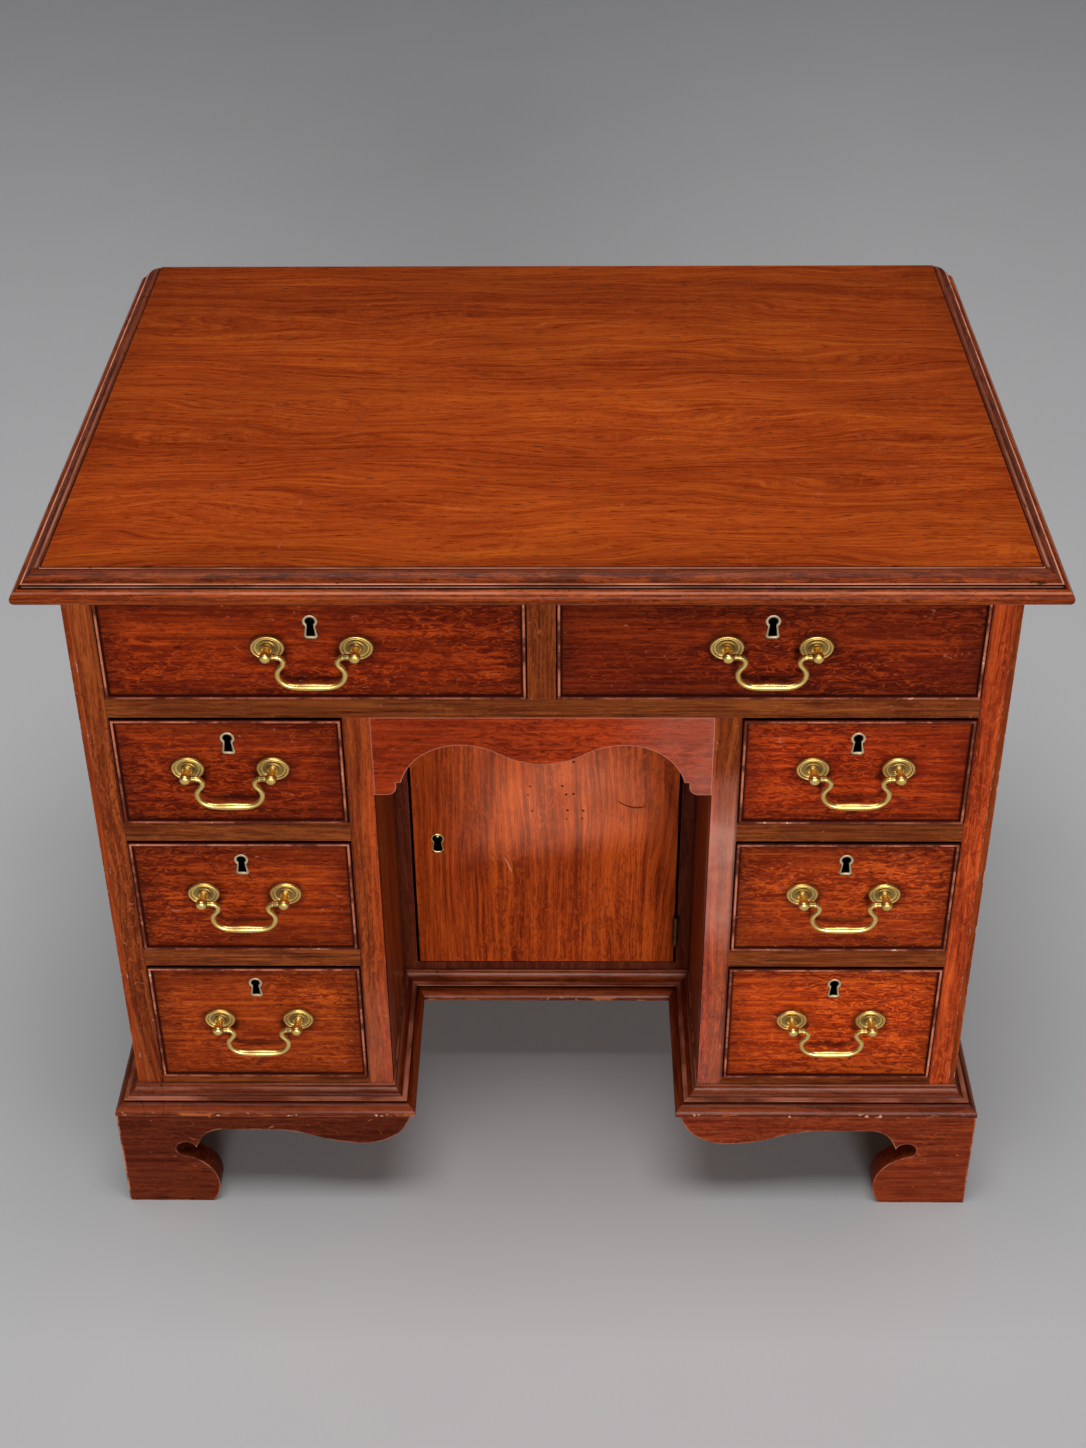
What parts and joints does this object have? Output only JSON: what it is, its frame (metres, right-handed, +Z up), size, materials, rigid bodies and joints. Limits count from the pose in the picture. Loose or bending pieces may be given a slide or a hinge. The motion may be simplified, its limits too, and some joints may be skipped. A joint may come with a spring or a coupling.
{
  "type": "kneehole desk",
  "caption": "Small mahogany kneehole desk with drawers down both pedestals, frieze drawers, a set-back cupboard, shaped apron and bracket feet.",
  "frame": {"origin": "on the floor under the centre of the top", "axes": "+X to the right seen from the front, +Y to the back, +Z up; the drawers open towards -Y"},
  "size_m": [0.874, 0.61, 0.77],
  "materials": {
    "mahogany_top": "french polished mahogany, worn at the edges",
    "mahogany_front": "waxed red mahogany with a figured grain",
    "mahogany_carcass": "waxed brown mahogany",
    "mahogany_door": "waxed mahogany with an upright flame grain",
    "mahogany_base": "dark waxed mahogany, chipped and scratched",
    "oak_lining": "bare oak, dry and a little dusty",
    "pine_inside": "bare pine, rough sawn and aged",
    "brass": "cast brass, bright on the wear points and dark in the hollows",
    "lock_iron": "old iron with a dull brown patina"
  },
  "bodies": {
    "carcass": {"apron": "mahogany_front", "back_boards": "pine_inside", "cupboard_frame": "mahogany_carcass", "cupboard_hinge_leaves": "brass", "drawer_guides": "oak_lining", "drawer_stops": "oak_lining", "dustboards": "pine_inside", "frieze_divider": "mahogany_carcass", "frieze_rail": "mahogany_carcass", "front_brackets": "mahogany_base", "front_stiles": "mahogany_carcass", "glue_blocks": "pine_inside", "kneehole_sides": "mahogany_carcass", "pedestal_rails": "mahogany_carcass", "plinth_moulding": "mahogany_base", "rear_brackets": "pine_inside", "side_brackets": "mahogany_base", "side_panel_left": "mahogany_carcass", "side_panel_right": "mahogany_carcass", "top_board": "mahogany_top", "top_edge_moulding": "mahogany_top", "top_kickers": "oak_lining", "top_rail": "mahogany_carcass"},
    "door": {"door_escutcheon": "brass", "door_hinge_leaves": "brass", "door_lock": "lock_iron", "door_panel": "mahogany_door"},
    "frieze_left_drawer": {"frieze_left_drawer_box": "oak_lining", "frieze_left_drawer_fittings": "brass", "frieze_left_drawer_front": "mahogany_front"},
    "frieze_left_bail": {"frieze_left_bail": "brass"},
    "frieze_right_drawer": {"frieze_right_drawer_box": "oak_lining", "frieze_right_drawer_fittings": "brass", "frieze_right_drawer_front": "mahogany_front"},
    "frieze_right_bail": {"frieze_right_bail": "brass"},
    "upper_left_drawer": {"upper_left_drawer_box": "oak_lining", "upper_left_drawer_fittings": "brass", "upper_left_drawer_front": "mahogany_front"},
    "upper_left_bail": {"upper_left_bail": "brass"},
    "middle_left_drawer": {"middle_left_drawer_box": "oak_lining", "middle_left_drawer_fittings": "brass", "middle_left_drawer_front": "mahogany_front"},
    "middle_left_bail": {"middle_left_bail": "brass"},
    "lower_left_drawer": {"lower_left_drawer_box": "oak_lining", "lower_left_drawer_fittings": "brass", "lower_left_drawer_front": "mahogany_front"},
    "lower_left_bail": {"lower_left_bail": "brass"},
    "upper_right_drawer": {"upper_right_drawer_box": "oak_lining", "upper_right_drawer_fittings": "brass", "upper_right_drawer_front": "mahogany_front"},
    "upper_right_bail": {"upper_right_bail": "brass"},
    "middle_right_drawer": {"middle_right_drawer_box": "oak_lining", "middle_right_drawer_fittings": "brass", "middle_right_drawer_front": "mahogany_front"},
    "middle_right_bail": {"middle_right_bail": "brass"},
    "lower_right_drawer": {"lower_right_drawer_box": "oak_lining", "lower_right_drawer_fittings": "brass", "lower_right_drawer_front": "mahogany_front"},
    "lower_right_bail": {"lower_right_bail": "brass"}
  },
  "joints": [
    {"name": "frieze_left_drawer_slide", "type": "slide", "parent": "carcass", "child": "frieze_left_drawer", "axis": [0, -1, 0], "range_m": [0, 0.4]},
    {"name": "frieze_left_bail_hinge", "type": "hinge", "parent": "frieze_left_drawer", "child": "frieze_left_bail", "pos_m": [-0.19587, -0.288, 0.68239], "axis": [-1, 0, 0], "range_deg": [-20, 150]},
    {"name": "frieze_right_drawer_slide", "type": "slide", "parent": "carcass", "child": "frieze_right_drawer", "axis": [0, -1, 0], "range_m": [0, 0.4]},
    {"name": "frieze_right_bail_hinge", "type": "hinge", "parent": "frieze_right_drawer", "child": "frieze_right_bail", "pos_m": [0.19587, -0.288, 0.68239], "axis": [-1, 0, 0], "range_deg": [-20, 150]},
    {"name": "upper_left_drawer_slide", "type": "slide", "parent": "carcass", "child": "upper_left_drawer", "axis": [0, -1, 0], "range_m": [0, 0.4]},
    {"name": "upper_left_bail_hinge", "type": "hinge", "parent": "upper_left_drawer", "child": "upper_left_bail", "pos_m": [-0.27725, -0.288, 0.55034], "axis": [-1, 0, 0], "range_deg": [-20, 150]},
    {"name": "middle_left_drawer_slide", "type": "slide", "parent": "carcass", "child": "middle_left_drawer", "axis": [0, -1, 0], "range_m": [0, 0.4]},
    {"name": "middle_left_bail_hinge", "type": "hinge", "parent": "middle_left_drawer", "child": "middle_left_bail", "pos_m": [-0.27725, -0.288, 0.40229], "axis": [-1, 0, 0], "range_deg": [-20, 150]},
    {"name": "lower_left_drawer_slide", "type": "slide", "parent": "carcass", "child": "lower_left_drawer", "axis": [0, -1, 0], "range_m": [0, 0.4]},
    {"name": "lower_left_bail_hinge", "type": "hinge", "parent": "lower_left_drawer", "child": "lower_left_bail", "pos_m": [-0.27725, -0.288, 0.23924], "axis": [-1, 0, 0], "range_deg": [-20, 150]},
    {"name": "upper_right_drawer_slide", "type": "slide", "parent": "carcass", "child": "upper_right_drawer", "axis": [0, -1, 0], "range_m": [0, 0.4]},
    {"name": "upper_right_bail_hinge", "type": "hinge", "parent": "upper_right_drawer", "child": "upper_right_bail", "pos_m": [0.27725, -0.288, 0.55034], "axis": [-1, 0, 0], "range_deg": [-20, 150]},
    {"name": "middle_right_drawer_slide", "type": "slide", "parent": "carcass", "child": "middle_right_drawer", "axis": [0, -1, 0], "range_m": [0, 0.4]},
    {"name": "middle_right_bail_hinge", "type": "hinge", "parent": "middle_right_drawer", "child": "middle_right_bail", "pos_m": [0.27725, -0.288, 0.40229], "axis": [-1, 0, 0], "range_deg": [-20, 150]},
    {"name": "lower_right_drawer_slide", "type": "slide", "parent": "carcass", "child": "lower_right_drawer", "axis": [0, -1, 0], "range_m": [0, 0.4]},
    {"name": "lower_right_bail_hinge", "type": "hinge", "parent": "lower_right_drawer", "child": "lower_right_bail", "pos_m": [0.27725, -0.288, 0.23924], "axis": [-1, 0, 0], "range_deg": [-20, 150]},
    {"name": "door_hinge", "type": "hinge", "parent": "carcass", "child": "door", "pos_m": [0.135, -0.118, 0.336], "axis": [0, 0, 1], "range_deg": [0, 95]}
  ]
}
